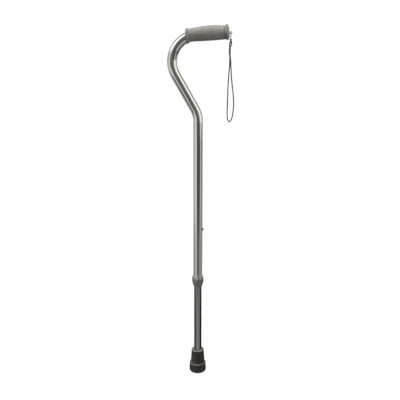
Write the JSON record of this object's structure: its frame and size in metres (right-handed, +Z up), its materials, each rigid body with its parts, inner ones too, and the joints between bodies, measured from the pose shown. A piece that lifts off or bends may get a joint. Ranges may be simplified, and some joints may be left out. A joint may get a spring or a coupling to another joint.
{
  "type": "walking cane",
  "caption": "Height-adjustable offset-handle walking cane with a moulded grip, wrist strap, snap button, lock nut and rubber tip.",
  "frame": {"origin": "centre of the rubber tip's sole, on the shaft's axis", "axes": "+Z up along the shaft, +X towards the handle's free end, +Y to the handle's left; the cane is symmetric about the XZ plane apart from the strap"},
  "size_m": [0.1502, 0.0424, 0.8561],
  "materials": {
    "polished_tube": "polished",
    "satin_tube": "satin",
    "grip_vinyl": "pebbled matte",
    "cap_plastic": "fine matte",
    "collar_plastic": "satin",
    "nylon": "satin",
    "spring_steel": "brushed",
    "button_steel": "polished",
    "tip_rubber": "matte",
    "washer_steel": "zinc plated",
    "string_fabric": "braided",
    "strap_fabric": "braided",
    "sleeve_plastic": "satin"
  },
  "bodies": {
    "upper_shaft": {"upper_tube": "polished_tube", "hand_grip": "grip_vinyl", "grip_end_cap": "cap_plastic", "thread_bushing": "collar_plastic"},
    "lower_leg": {"lower_tube": "satin_tube", "guide_bushing": "nylon", "button_spring": "spring_steel", "rubber_tip": "tip_rubber", "tip_washer": "washer_steel"},
    "button": {"snap_button": "button_steel"},
    "clamp": {"clamp_ring": "nylon"},
    "nut": {"lock_nut": "collar_plastic"},
    "wrist_strap": {"strap_string": "string_fabric", "strap_knot": "string_fabric", "strap_cord": "strap_fabric", "strap_sleeve": "sleeve_plastic"}
  },
  "joints": [
    {"name": "height_adjust", "type": "slide", "parent": "upper_shaft", "child": "lower_leg", "axis": [0, 0, 1], "range_m": [-0.1016, 0.127], "deforming": ["snap_button"]},
    {"name": "button_press", "type": "slide", "parent": "lower_leg", "child": "button", "axis": [-1, 0, 0], "range_m": [0, 0.0043], "stiffness_N_per_m": 900, "springref_m": -0.002, "deforming": ["button_spring"]},
    {"name": "clamp_slide", "type": "slide", "parent": "upper_shaft", "child": "clamp", "axis": [0, 0, 1], "range_m": [-0.003, 0]},
    {"name": "nut_turn", "type": "hinge", "parent": "clamp", "child": "nut", "pos_m": [0, 0, 0.245], "axis": [0, 0, 1], "range_deg": [-360, 0]},
    {"name": "strap_swing", "type": "hinge", "parent": "upper_shaft", "child": "wrist_strap", "pos_m": [0.07112, 0, 0.83791], "axis": [0, -1, 0], "range_deg": [-5, 90]}
  ],
  "couplings": [
    {"joint": "nut_turn", "follows": "clamp_slide", "rad_per_m": 2094.4}
  ]
}
